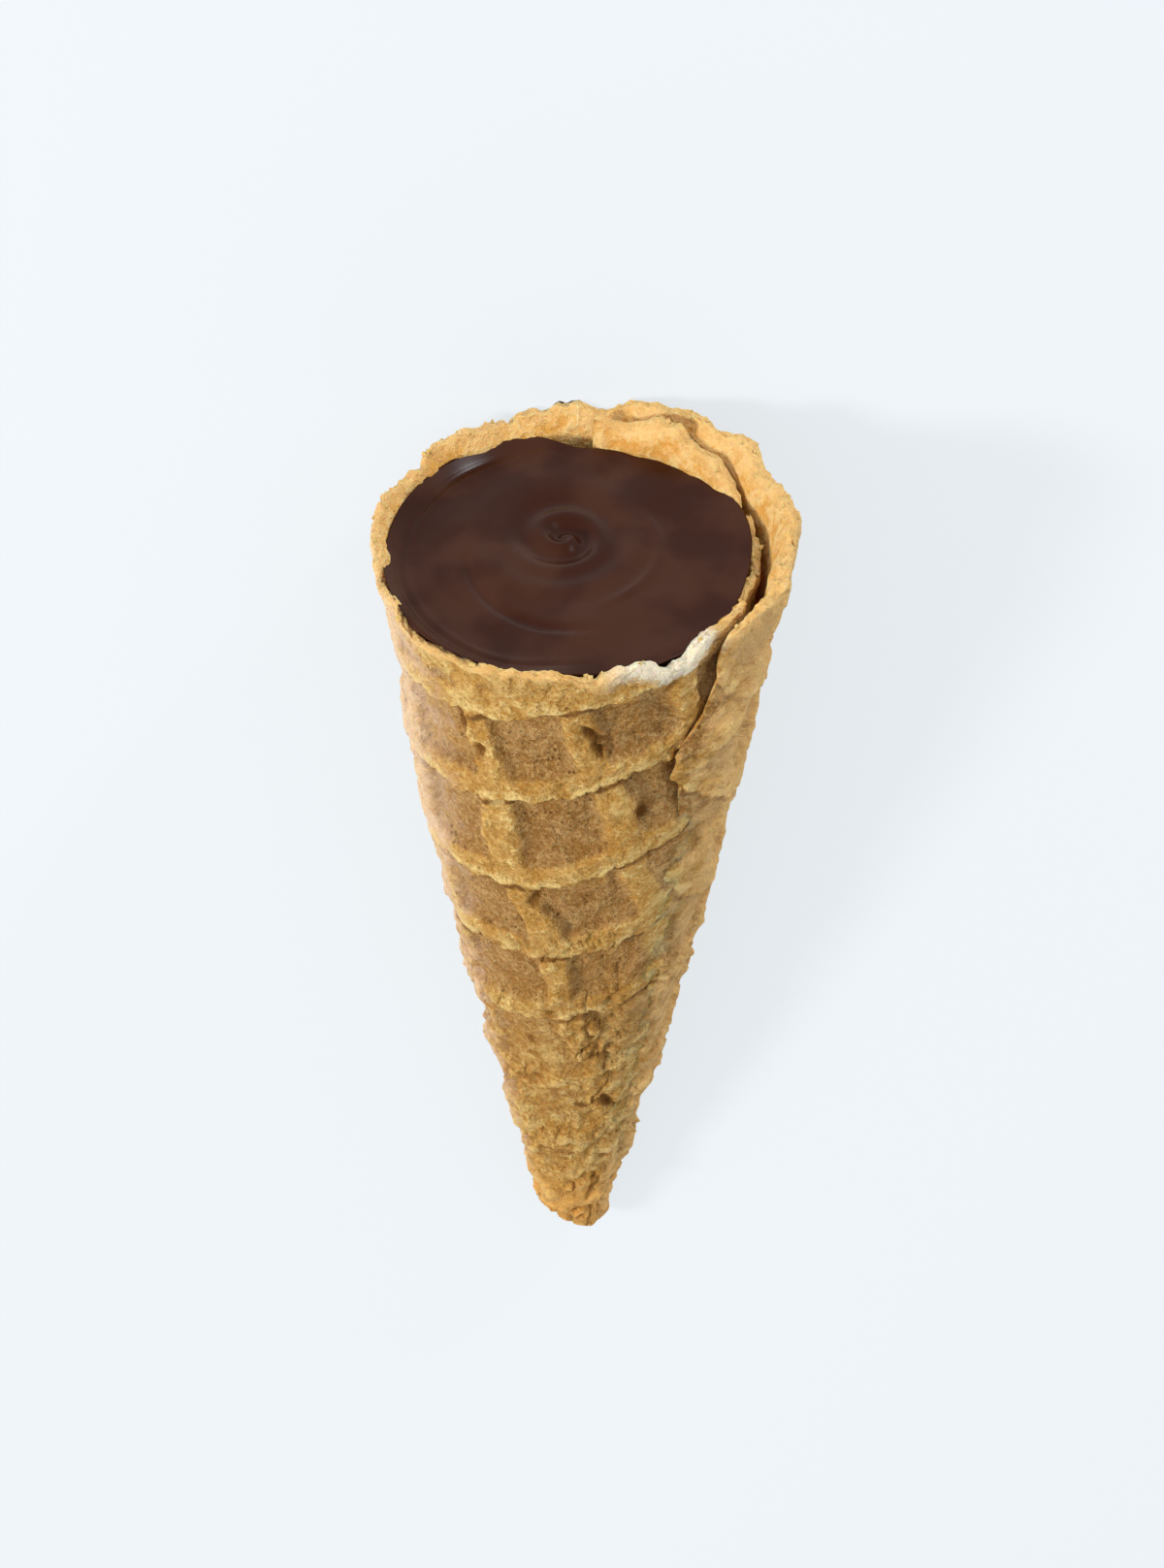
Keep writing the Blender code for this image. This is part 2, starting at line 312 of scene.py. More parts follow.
def seam_turn(drop):
    """The turn angle of the outer end's ragged edge."""
    down = Vector((drop, 0, 0))
    ragged = EDGE_BITES * noise.noise(down / EDGE_BITE_SIZE)
    ragged += RIM_FRAY * noise.fractal(down / EDGE_SIZE, 0.8, 2.0, 2)
    edge = math.radians(along(SEAM, drop / MM)) - math.tau
    return edge + ragged / max(MOUTH_RADIUS - 0.18 * drop, 3 * MM)


class WaferPoint:
    """A point of the sheet's skin, with what its material needs to know."""

    def __init__(self, nominal, from_end, skin, share, wafer):
        round_spot = Vector((math.cos(nominal), math.sin(nominal), 0)) * MOUTH_RADIUS
        rim = rim_drop(nominal, round_spot + Vector((0, 0, nominal * MM)))
        inset_at_tip = outer_inset(nominal, LENGTH)
        closes = skin_end(inset_at_tip + (TIP_SHEET if skin == "inside" else 0))
        drop = rim if skin == "rim" else rim + share * (closes - rim)
        seam = seam_turn(drop)
        begun = (INNER_END - nominal) / (INNER_END - OUTER_END)
        turn = nominal + (seam - OUTER_END) * smooth((begun - 0.8) / 0.2)
        flat = flat_place(turn, drop)
        self.grid = grid_place(flat, wafer.pitch)
        round_axis = Vector((math.cos(turn), math.sin(turn), 0)) * max(MOUTH_RADIUS - 0.19 * drop, 3 * MM)
        spot = round_axis + Vector((0, 0, drop + turn * MM))
        fade = smooth((LENGTH - drop) / (LENGTH - PATTERN_END)) * smooth((drop - rim - 1.5 * MM) / (4 * MM))
        half_width = wafer.rib_width / 2 + 0.8 * MM * noise.noise(flat / (8 * MM))
        half_width += 0.5 * MM * noise.fractal(flat / (1.9 * MM), 0.8, 2.1, 3)
        self.hole, depth = hole_distance(flat)
        sunk = depth * smooth(0.5 - self.hole / (0.7 * MM))
        tight = smooth((drop - PRESSED_FROM) / (PRESSED_TO - PRESSED_FROM))
        flap = turn < -math.pi
        thinned = smooth(1 - (turn - seam) / FEATHER) * (0.55 + 0.45 * tight) if flap else 0
        covered = smooth((turn - seam - math.tau + 0.35) / 0.3) * tight if turn > 0 else 0
        room = outer_inset(turn + math.tau, drop) if flap else 0
        near_edge = smooth(1 - (turn - seam) / FLAP_EDGE) if flap else 0
        pattern = pressed(*self.grid, wafer.pitch, half_width) * fade * (1 - covered) * (1 - 0.85 * near_edge)
        rough = (lumps(spot, drop) + pits(flat, drop) + cracks(flat, drop)) * (1 - 0.7 * covered)
        below_rim = drop - rim
        inner = inner_inset(turn, drop, below_rim)
        inner += (room + 0.35 * MM - inner) * thinned
        top = outer_inset(turn, drop)
        sink = wafer.cell_depth * pattern + rough + sunk
        outer = top + 0.97 * room * thinned
        outer += min(sink, max(inner - top - KEPT_UNDER_CELLS, 0.3 * MM))
        near_rim = smooth(1 - below_rim / (7 * MM))
        soft = 0.5 * MM * noise.noise(spot / (3.6 * MM)) + 0.2 * MM * noise.noise(spot / (1.5 * MM))
        inner += soft * near_rim
        if turn > OUTER_START - 0.1 and skin != "inside":
            outer += SEAM_GAP * smooth((turn - OUTER_START + 0.1) / 0.2) * smooth(2 - drop / PRESSED_FROM)
        inner = max(inner, outer + THINNEST)
        drawn = 0.46 * (1 - math.sqrt(max(0.0, 1 - (1 - min(from_end, 1)) ** 2)))
        wall = inner - outer
        outer, inner = outer + drawn * wall, inner - drawn * wall
        sway = RIM_SWAY * noise.noise(spot / (4.5 * MM) + Vector((5, 1, 3)))
        sway *= smooth(1 - below_rim / (5 * MM))
        outer, inner = outer + sway, inner + sway
        self.turn = turn
        self.below_rim = below_rim
        self.half_width = half_width
        self.inside = 1.0 if skin == "inside" else 0.0
        self.sink = rough + sunk
        if skin == "rim":
            over = share * math.pi
            inset = outer + (inner - outer) * (1 - math.cos(over)) / 2
            crumb = 0.36 * MM * noise.fractal((spot + Vector((inset, 0, 0)) * 3) / (1.3 * MM), 0.7, 2.2, 3)
            drop -= (0.25 * (inner - outer) + crumb * min(from_end, 1)) * math.sin(over) ** 0.6
            self.inside = share
            self.place = place(turn, drop, radius(turn, drop, inset, LENGTH))
        else:
            inset = inner if skin == "inside" else outer
            self.place = place(turn, drop, radius(turn, drop, inset, closes))
        self.drop = drop


class Shade:
    """A socket of a material's nodes, whose sums are Math nodes."""

    def __init__(self, paint, socket):
        self.paint, self.socket = paint, socket

    def maths(self, operation, *values):
        return self.paint.node("ShaderNodeMath", {"operation": operation}, dict(enumerate(values)))

    def __add__(self, other):
        return self.maths("ADD", self, other)

    __radd__ = __add__

    def __sub__(self, other):
        return self.maths("SUBTRACT", self, other)

    def __rsub__(self, other):
        return self.maths("SUBTRACT", other, self)

    def __mul__(self, other):
        return self.maths("MULTIPLY", self, other)

    __rmul__ = __mul__

    def __truediv__(self, other):
        return self.maths("DIVIDE", self, other)

    def __abs__(self):
        return self.maths("ABSOLUTE", self)

    def largest(self, other):
        return self.maths("MAXIMUM", self, other)

    def nearest_whole(self):
        return self.maths("ROUND", self)

    def between(self, low, high):
        """0 below low, 1 above high, smooth between them. High may be the lower one."""
        settings = {"interpolation_type": "SMOOTHSTEP"}
        if not isinstance(low, Shade) and not isinstance(high, Shade) and low > high:
            return 1 - self.between(high, low)
        sockets = {"Value": self, "From Min": low, "From Max": high}
        return self.paint.node("ShaderNodeMapRange", settings, sockets)


class Paint:
    """One material: a Principled BSDF and the nodes that feed it."""

    def __init__(self, name):
        self.material = bpy.data.materials.new(name)
        self.material.use_nodes = True
        self.tree = self.material.node_tree
        self.shader = self.tree.nodes["Principled BSDF"]

    def node(self, kind, settings=None, sockets=None, output=0):
        """Adds a node and gives one of its outputs."""
        made = self.tree.nodes.new(kind)
        for name, value in (settings or {}).items():
            setattr(made, name, value)
        for name, value in (sockets or {}).items():
            self.feed(made.inputs[name], value)
        return Shade(self, made.outputs[output])

    def feed(self, socket, value):
        if isinstance(value, Shade):
            self.tree.links.new(value.socket, socket)
        else:
            socket.default_value = value

    def place(self):
        return self.node("ShaderNodeTexCoord", output="Object")

    def attribute(self, name):
        """The three numbers of a point attribute."""
        vector = self.node("ShaderNodeAttribute", {"attribute_name": name}, output="Vector")
        split = self.node("ShaderNodeSeparateXYZ", None, {0: vector})
        return [Shade(self, output) for output in split.socket.node.outputs]

    def noise(self, place, size, detail=2.0, roughness=0.5):
        """Cloudy noise about 0.5, with features of that size in metres."""
        sockets = {"Vector": place, "Scale": 1 / size, "Detail": detail, "Roughness": roughness}
        return self.node("ShaderNodeTexNoise", None, sockets)

    def cells(self, place, size, randomness=1.0):
        """Distance to the nearest of points scattered that far apart, where 1 is that distance."""
        sockets = {"Vector": place, "Scale": 1 / size, "Randomness": randomness}
        return self.node("ShaderNodeTexVoronoi", None, sockets, output="Distance")

    def mix(self, share, first, second, blend="MIX"):
        """A colour between two colours, which may be links."""
        settings = {"data_type": "RGBA", "blend_type": blend}
        made = self.node("ShaderNodeMix", settings)
        node = made.socket.node
        for socket, value in zip((node.inputs[0], node.inputs[6], node.inputs[7]), (share, first, second)):
            colour = not isinstance(value, (Shade, int, float))
            self.feed(socket, (*value, 1) if colour and len(value) == 3 else value)
        return Shade(self, node.outputs[2])

    def bump(self, height, strength, distance, below=None):
        sockets = {"Height": height, "Strength": strength, "Distance": distance}
        if below:
            sockets["Normal"] = below
        return self.node("ShaderNodeBump", None, sockets)

    def finish(self, **inputs):
        """Feeds the shader. A space in a socket's name is an underscore here."""
        for name, value in inputs.items():
            self.feed(self.shader.inputs[name.replace("_", " ")], value)
        return self.material


def wafer_material(settings):
    """Baked wafer: brown porous cell floors, crumbly golden ribs, pale torn edges and a golden inside."""
    paint = Paint("baked_waffle")
    place = paint.place()
    column, row, hole = paint.attribute("grid")
    below_rim, half_width, inside = paint.attribute("edge")
    turn, drop, sink = paint.attribute("roll")
    cloud = paint.noise(place, 7 * MM, 3)
    patch = paint.noise(place, 2.4 * MM, 4, 0.6)
    flake = paint.noise(place, 1.05 * MM, 3, 0.65)
    grain = paint.noise(place, 0.42 * MM, 3, 0.7)
    crumb = patch * 0.45 + flake * 0.35 + grain * 0.2
    pitch = settings.pitch / MM

    # Distances from the ribs' middles, in millimetres.
    from_column = abs(column - column.nearest_whole()) * pitch
    past_rib = (row - row.nearest_whole()) * pitch - half_width
    before_rib = (row.nearest_whole() - row) * pitch - half_width
    ragged = (flake - 0.5) * 1.1
    floor = (past_rib + ragged).between(0.1, 0.4) + (before_rib + ragged).between(0.3, 1.1)
    floor = floor * (from_column + ragged).between(half_width + 0.2, half_width + 0.9)
    outside = 1 - inside
    fade = drop.between(74.0, 48.0) * below_rim.between(1.0, 4.5) * outside
    floor = floor * (fade * 0.9 + 0.1)
    # Painted shade: a dark line just past each rib's tip-side edge, where the rib shades the cell below.
    rib_shade_line = (past_rib + ragged * 0.4).between(-0.15, 0.2) * (past_rib + ragged * 0.4).between(0.95, 0.45)
    rib_shade_line = rib_shade_line * patch.between(0.3, 0.46) * fade
    # Paler rib crests: partly wear, partly a painted highlight.
    crest_highlight = past_rib.between(-1.5, -0.5) * past_rib.between(0.0, -0.2) * patch.between(0.42, 0.56) * fade

    gold = paint.mix(crumb.between(0.41, 0.56), settings.gold_colour, settings.rib_colour)
    gold = paint.mix(crumb.between(0.53, 0.62) * 0.9, gold, settings.pale_and_highlight_colour)
    brown = paint.mix(crumb.between(0.42, 0.56), settings.deep_colour, settings.floor_colour)
    colour = paint.mix(floor * 0.85, gold, brown)
    colour = paint.mix(cloud.between(0.5, 0.66) * outside * 0.3, colour, settings.gold_colour)
    colour = paint.mix(crest_highlight * 0.8, colour, settings.pale_and_highlight_colour)
    colour = paint.mix(grain.between(0.52, 0.62) * 0.22, colour, settings.pale_and_highlight_colour)
    colour = paint.mix(grain.between(0.48, 0.38) * 0.4, colour, settings.brown_and_shade_colour)
    # Painted shade under the ribs.
    colour = paint.mix(rib_shade_line * 0.85, colour, settings.pore_and_shade_colour)

    # Painted shade darkens the hollows and a painted highlight lightens the raised spots; pores are small
    # round pits.
    hollow_shade = (sink + (flake - 0.5) * 0.8).between(0.35, 0.85) * outside
    colour = paint.mix(hollow_shade * 0.6, colour, settings.brown_and_shade_colour)
    raised_highlight = (sink + (flake - 0.5) * 0.8).between(0.1, -0.1) * outside * (1 - floor)
    colour = paint.mix(raised_highlight * 0.5, colour, settings.pale_and_highlight_colour)
    porous = paint.noise(place, 3 * MM, 2).between(0.47, 0.6)
    pore = paint.cells(place, 0.85 * MM).between(0.27, 0.13) * porous
    clot = paint.cells(place, 1.25 * MM)
    fine_pore = paint.cells(place, 0.4 * MM).between(0.34, 0.18) * flake.between(0.5, 0.6)
    pits = pore.largest(fine_pore * 0.8) * (floor * 0.6 + 0.4) * outside
    colour = paint.mix(pits * 0.7, colour, settings.pore_and_shade_colour)
    in_hole = (hole + (grain - 0.5) * 0.5).between(0.25, -0.35)
    colour = paint.mix(in_hole * 0.8, colour, settings.hole_colour)

    # The tip is baked orange, the roll's left side is painted paler as light from the key lamp's side, and
    # torn edges show pale crumb.
    tip = drop.between(84.0, 95.0)
    colour = paint.mix(tip * 0.65, colour, settings.tip_colour)
    left = (turn + (patch - 0.5)).between(-0.75, -1.35) * (0.72 - floor * 0.2)
    # The right side by the outer end is paler: partly the flap's own yellow, partly painted fill light.
    right = (turn + (patch - 0.5)).between(0.6, 0.95) * 0.55
    colour = paint.mix(right * outside, colour, settings.flap_and_fill_light_colour)
    # Painted light: the left side, towards the key lamp, is paler.
    colour = paint.mix(left * outside * (1 - tip), colour, settings.lit_side_colour)
    inner = paint.mix(crumb.between(0.42, 0.58), settings.inside_colour, settings.glow_colour)
    colour = paint.mix(inside, colour, inner)
    frayed = (below_rim + (flake - 0.5) * 2.0).between(0.9, 0.0)
    colour = paint.mix(frayed * 0.5, colour, settings.glow_colour)
    torn = (below_rim + (flake - 0.5) * 3.0).between(2.3, 0.8)
    torn = torn * turn.between(0.05, 0.3) * turn.between(0.85, 0.7)
    colour = paint.mix(torn * 0.85, colour, settings.crumb_colour)
    crease = clot.between(0.42, 0.75) * outside * drop.between(35.0, 55.0)
    colour = paint.mix(crease * 0.35, colour, settings.brown_and_shade_colour)

    heights = grain * 0.36 + flake * 0.75 + patch * 0.7 - pits * 0.25 - floor * 0.2
    heights = heights - clot * 0.22 * (1 - floor * 0.6)
    return paint.finish(
        Base_Color=colour,
        Roughness=0.85,
        Specular_IOR_Level=0.12,
        Subsurface_Weight=0.35,
        Subsurface_Radius=(1.0, 0.45, 0.15),
        Subsurface_Scale=1.2 * MM,
        Normal=paint.bump(heights, 1.0, MM),
    )


def chocolate_material(settings):
    """Poured dark chocolate with a soft satin skin."""
    paint = Paint("poured_chocolate")
    place = paint.place()
    cloud = paint.noise(place, 7 * MM, 2)
    skin = paint.noise(place, 0.7 * MM, 3, 0.6)
    colour = paint.mix(cloud.between(0.4, 0.64) * 0.6, settings.chocolate_colour, settings.bloom_colour)
    speck = paint.cells(place, 1.6 * MM).between(0.07, 0.03)
    colour = paint.mix(speck * 0.5, colour, settings.bloom_colour)
    waves = paint.bump(cloud + skin * 0.05, 0.25, 0.3 * MM)
    return paint.finish(
        Base_Color=colour,
        Roughness=0.2 + cloud * 0.12,
        Specular_IOR_Level=0.1,
        Normal=waves,
    )


class WaferSettings(PropertyGroup):
    """Sizes and colours of the wafer."""

    columns: IntProperty(name="Columns", description="Columns round the outside", default=335, min=60)
    rows: IntProperty(name="Rows", description="Rows from rim to tip", default=200, min=40)
    pitch: FloatProperty(name="Pitch", description="Between ribs", default=12.35 * MM, unit="LENGTH")
    rib_width: FloatProperty(name="Rib width", description="A rib's top", default=2.3 * MM, unit="LENGTH")
    cell_depth: FloatProperty(
        name="Cell depth", description="Of a cell's floor", default=1.25 * MM, unit="LENGTH")
    rib_colour: FloatVectorProperty(
        name="Ribs", description="Ribs", default=(0.52, 0.30, 0.085), subtype="COLOR")
    gold_colour: FloatVectorProperty(
        name="Gold", description="Darker ribs", default=(0.42, 0.21, 0.04), subtype="COLOR")
    # Pale floury patches and specks, and the painted highlights on rib crests and raised spots.
    pale_and_highlight_colour: FloatVectorProperty(
        name="Pale", description="Floury patches", default=(0.74, 0.54, 0.21), subtype="COLOR")
    floor_colour: FloatVectorProperty(
        name="Floors", description="Cell floors", default=(0.36, 0.195, 0.07), subtype="COLOR")
    deep_colour: FloatVectorProperty(
        name="Brown", description="Browner floor patches", default=(0.23, 0.105, 0.026), subtype="COLOR")
    # Dark brown of the pores, and the painted shade under the ribs.
    pore_and_shade_colour: FloatVectorProperty(
        name="Pores and shade", description="Pores and rib undersides", default=(0.12, 0.04, 0.006), subtype="COLOR")
    hole_colour: FloatVectorProperty(
        name="Holes", description="Inside blow holes", default=(0.15, 0.055, 0.006), subtype="COLOR")
    tip_colour: FloatVectorProperty(
        name="Tip", description="The tip", default=(0.74, 0.37, 0.09), subtype="COLOR")
    crumb_colour: FloatVectorProperty(
        name="Crumb", description="Torn crumb", default=(0.82, 0.75, 0.58), subtype="COLOR")
    inside_colour: FloatVectorProperty(
        name="Inside", description="The roll's inner face", default=(0.70, 0.34, 0.07), subtype="COLOR")
    glow_colour: FloatVectorProperty(
        name="Inside, pale", description="Its paler patches", default=(0.84, 0.55, 0.22), subtype="COLOR")
    # Browner specks, and the painted shade in the hollows.
    brown_and_shade_colour: FloatVectorProperty(
        name="Hollows", description="Browner hollows", default=(0.26, 0.11, 0.022), subtype="COLOR")
    # The outer end's own yellow, with painted fill light on the right side.
    flap_and_fill_light_colour: FloatVectorProperty(
        name="Flap", description="The paler outer end", default=(0.72, 0.44, 0.18), subtype="COLOR")
    # Painted light: the paler left side, towards the key lamp.
    lit_side_colour: FloatVectorProperty(
        name="Sides", description="Paler sides", default=(0.76, 0.56, 0.40), subtype="COLOR")


class FillingSettings(PropertyGroup):
    """Sizes and colours of the chocolate."""

    columns: IntProperty(name="Columns", description="Columns around", default=320, min=40)
    ripple: FloatProperty(name="Ripple", description="Height of the whirl", default=0.62 * MM, unit="LENGTH")
    meniscus: FloatProperty(
        name="Meniscus", description="Climb at the left wall", default=1.1 * MM, unit="LENGTH")
    chocolate_colour: FloatVectorProperty(
        name="Chocolate", description="Dark chocolate", default=(0.033, 0.0078, 0.003), subtype="COLOR")
    bloom_colour: FloatVectorProperty(
        name="Bloom", description="Its duller patches", default=(0.062, 0.021, 0.010), subtype="COLOR")


class CrumbSettings(PropertyGroup):
    """How many crumbs lie on the rim."""

    count: IntProperty(name="Crumbs", description="Crumbs on the torn rim", default=70, min=0)
    size: FloatProperty(name="Size", description="Half a crumb's length", default=0.34 * MM, unit="LENGTH")
    seed: IntProperty(name="Seed", description="Another number is another scatter", default=7)


class StageSettings(PropertyGroup):
    """The floor, the lamps and the camera."""

    floor_colour: FloatVectorProperty(
        name="Floor", description="Floor", default=(0.84, 0.87, 0.90), subtype="COLOR")
    backdrop_colour: FloatVectorProperty(
        name="Backdrop", description="The floor as it looks past the lamps", default=(0.817, 0.863, 0.896),
        subtype="COLOR")
    backdrop_share: FloatProperty(
        name="Backdrop share", description="How much it thins shadows", default=0.807)
    key_power: FloatProperty(
        name="Key lamp", description="Soft lamp at the left", default=4.0, unit="POWER")
    window_power: FloatProperty(
        name="Window", description="Low light at the mouth", default=1.5, unit="POWER")
    sky_strength: FloatProperty(name="Sky", description="Even light from all round", default=0.80)
    lens: FloatProperty(name="Lens", description="Focal length", default=111.3, unit="CAMERA")


def sheet_rows(outside_rows):
    """Rows from the tip up the outer skin, over the rim and down the inner skin to the first again."""
    steps = [1 - i / outside_rows for i in range(outside_rows + 1)]
    rows = [("outside", step - 0.3 * math.sin(math.tau * step) / math.tau) for step in steps]
    rows += [("rim", (i + 1) / (RIM_ROWS + 1)) for i in range(RIM_ROWS)]
    rows += [("inside", (i / INSIDE_ROWS) ** 1.9) for i in range(INSIDE_ROWS + 1)]
    return rows


def sheet_columns(outside_columns):
    """(turn angle, distance from the nearer end as a share of its rounding) of each column."""
    turns = [INNER_END + (OUTER_START - INNER_END) * i / INNER_COLUMNS for i in range(INNER_COLUMNS)]
    outer_span = OUTER_END - OUTER_START
    turns += [OUTER_START + outer_span * i / outside_columns for i in range(outside_columns + 1)]
    last = len(turns) - 1
    return [(turn, min(i, last - i) / END_COLUMNS) for i, turn in enumerate(turns)]


def number_layers(mesh, *names):
    return [mesh.verts.layers.float_vector.new(name) for name in names]


def finished_piece(name, mesh, material, node=None):
    """Makes a bmesh an object, which stands for its solid if it has one."""
    bmesh.ops.recalc_face_normals(mesh, faces=mesh.faces)
    data = bpy.data.meshes.new(name)
    mesh.to_mesh(data)
    mesh.free()
    data.materials.append(material)
    data.shade_smooth()
    made = bpy.data.objects.new(name, data)
    bpy.context.scene.collection.objects.link(made)
    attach(made, "root")
    if node:
        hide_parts(node)
    return made


def bridge(mesh, first, second):
    """Joins two rows of verts with faces."""
    edges = [mesh.edges.get(pair) for row in (first, second) for pair in zip(row, row[1:])]
    bmesh.ops.bridge_loops(mesh, edges=edges)


class CONE_OT_wafer(Operator):
    """Rolls the baked sheet."""

    bl_idname = "cone.wafer"
    bl_label = "Rolled wafer"

    def execute(self, context):
        settings = context.scene.cone_wafer
        columns, rows = sheet_columns(settings.columns), sheet_rows(settings.rows)
        mesh = bmesh.new()
        bmesh.ops.create_grid(mesh, x_segments=len(columns) - 1, y_segments=len(rows) - 1, size=1)
        grid, edge, roll = number_layers(mesh, "grid", "edge", "roll")
        last_column, last_row = len(columns) - 1, len(rows) - 1
        at = {}
        for vert in mesh.verts:
            column, row = round((vert.co.x + 1) / 2 * last_column), round((vert.co.y + 1) / 2 * last_row)
            at[column, row] = vert
            point = WaferPoint(*columns[column], *rows[row], settings)
            vert.co = point.place
            vert[grid] = Vector((*point.grid, point.hole / MM))
            vert[edge] = Vector((point.below_rim / MM, point.half_width / MM, point.inside))
            vert[roll] = Vector((math.remainder(point.turn, math.tau), point.drop / MM, point.sink / MM))
        for column in (0, last_column):
            outside = [at[column, row] for row in range(settings.rows + 1)]
            inside = [at[column, row] for row in range(settings.rows + RIM_ROWS + 1, last_row + 1)]
            bridge(mesh, outside, inside)
        bridge(mesh, *([at[column, row] for column in range(last_column + 1)] for row in (0, last_row)))
        bmesh.ops.holes_fill(mesh, edges=[side for side in mesh.edges if side.is_boundary], sides=0)
        bmesh.ops.remove_doubles(mesh, verts=mesh.verts, dist=1e-7)
        material = wafer_material(settings)
        finished_piece("rolled_wafer", mesh, material, "waffle_cone")
        return {"FINISHED"}


def wall_inset(turn, drop):
    """How far the wafer's inner face lies under the outer turn's surface, all the way round."""
    wrapped = math.remainder(turn, math.tau)
    if wrapped > INNER_END:
        wrapped -= math.tau
    inside = inner_inset(wrapped, drop, drop - along(RIM, math.degrees(wrapped)) * MM)
    inner_turn = inner_inset(INNER_END, drop, drop - along(RIM, math.degrees(INNER_END)) * MM)
    past_end = (wrapped + math.tau - INNER_END) / FILL_STEP
    soaked = (WALL_OVERLAP + WALL_CLEARANCE) * smooth((9 * MM - drop) / (5 * MM)) - WALL_CLEARANCE
    return inside + (inner_turn - inside) * smooth(1.15 - past_end) - soaked


def hump(x):
    """1 at 0, and falling away to 0 on both sides."""
    return math.exp(-(x**2))


def whirl(across, front, ripple):
    """Height of the poured surface: a small nipple, the rings round it, and two long strokes."""
    from_centre = Vector((across, front)) - WHIRL_CENTRE
    reach, angle = from_centre.length / MM, math.atan2(from_centre.y, from_centre.x)
    wobble = reach * (1 + 0.12 * math.cos(angle - 0.6)) + 0.3 * math.cos(2 * angle + 0.9) * smooth(reach / 3)
    spiral = math.cos(math.tau * wobble / 3.9 - angle - 0.4) * hump(wobble / 4.6) * smooth(wobble / 1.2)
    rings = 0.8 * spiral + 0.5 * hump(wobble / 0.9) - 0.45 * hump(wobble / 4.5)
    rings += 0.25 * hump((wobble - 8.2) / 1.5)
    ridge = hump((reach - 9.2 - 1.6 * angle) / 0.55)
    ridge *= smooth((angle + 0.5) / 0.5) * smooth((1.4 - angle) / 0.5)
    turn_left = math.remainder(angle - math.radians(125), math.tau)
    groove = hump((reach - 12.3 + 2.9 * turn_left) / 0.6) * smooth((0.9 - abs(turn_left)) / 0.5)
    return ripple * (rings + 0.35 * ridge - 0.5 * groove)


def chocolate_point(turn, row, settings):
    """A point of the chocolate: its whirled top, its edge and its hidden side."""
    part, share = row
    if part == "side":
        drop = FILL_DROP + share * (FILL_END - FILL_DROP)
        side = radius(turn, drop, wall_inset(turn, drop), FILL_END)
        return place(turn, drop, side * (1 - share**40))
    edge = radius(turn, FILL_DROP, wall_inset(turn, FILL_DROP), FILL_END)
    from_axis = edge * share
    across, front = from_axis * math.sin(turn), from_axis * math.cos(turn)
    left = smooth((-math.sin(turn) + 0.15) / 0.8)
    from_wall = (edge - from_axis) / MM
    near_wall = max(1 - from_wall / 1.7, 0)
    fall = 0.75 * MM * left * smooth(share) - settings.meniscus * left * near_wall * smooth(near_wall / 0.3)
    lip = 0.12 * MM * left * hump((from_wall - 2.3) / 0.45)
    swell = 0.2 * MM * noise.noise(Vector((across, front, 0)) / (7 * MM))
    up = whirl(across, front, settings.ripple) * smooth(from_wall / 1.5) + lip + swell * smooth(from_wall / 2)
    return place(turn, FILL_DROP + fall - up, from_axis)


class CONE_OT_filling(Operator):
    """Pours the chocolate."""

    bl_idname = "cone.filling"
    bl_label = "Chocolate filling"

    def execute(self, context):
        settings = context.scene.cone_filling
        rows = [("top", (i / TOP_ROWS) ** 0.85) for i in range(TOP_ROWS + 1)]
        rows += [("side", (i / FILL_ROWS) ** 1.6) for i in range(1, FILL_ROWS + 1)]
        mesh = bmesh.new()
        bmesh.ops.create_grid(mesh, x_segments=settings.columns, y_segments=len(rows) - 1, size=1)
        for vert in mesh.verts:
            turn = (vert.co.x + 1) * math.pi
            row = rows[round((vert.co.y + 1) / 2 * (len(rows) - 1))]
            vert.co = chocolate_point(turn, row, settings)
        bmesh.ops.remove_doubles(mesh, verts=mesh.verts, dist=1e-7)
        material = chocolate_material(settings)
        finished_piece("poured_chocolate", mesh, material, "chocolate_filling")
        return {"FINISHED"}


def crumb(mesh, spot, size, draw):
    """One crumb: a small ball knocked out of shape."""
    ball = bmesh.ops.create_icosphere(mesh, subdivisions=2, radius=1)["verts"]
    stretch = Vector([size * draw.uniform(0.6, 1.2) for _ in range(3)])
    offset = Vector([draw.uniform(0, 50) for _ in range(3)])
    for vert in ball:
        vert.co = vert.co * (1 + 0.7 * noise.noise(vert.co * 1.3 + offset)) * stretch + spot


class CONE_OT_crumbs(Operator):
    """Leaves crumbs along the torn rim."""

    bl_idname = "cone.crumbs"
    bl_label = "Rim crumbs"

    def execute(self, context):
        settings, wafer = context.scene.cone_crumbs, context.scene.cone_wafer
        draw = random.Random(settings.seed)
        mesh = bmesh.new()
        for _ in range(settings.count):
            turn = draw.uniform(OUTER_END + 0.05, INNER_END - 0.05)
            point = WaferPoint(turn, 1, "rim", draw.uniform(0.05, 0.95), wafer)
            if point.place.z > 1.5 * MM:
                crumb(mesh, point.place, settings.size * draw.uniform(0.4, 1.0), draw)
        layers = number_layers(mesh, "grid", "edge", "roll")
        for vert in mesh.verts:
            for layer, value in zip(layers, ((0, 0, 3), (0, 1, 0.5), (-0.4, 0, 0))):
                vert[layer] = Vector(value)
        finished_piece("rim_crumbs", mesh, bpy.data.materials["baked_waffle"])
        return {"FINISHED"}


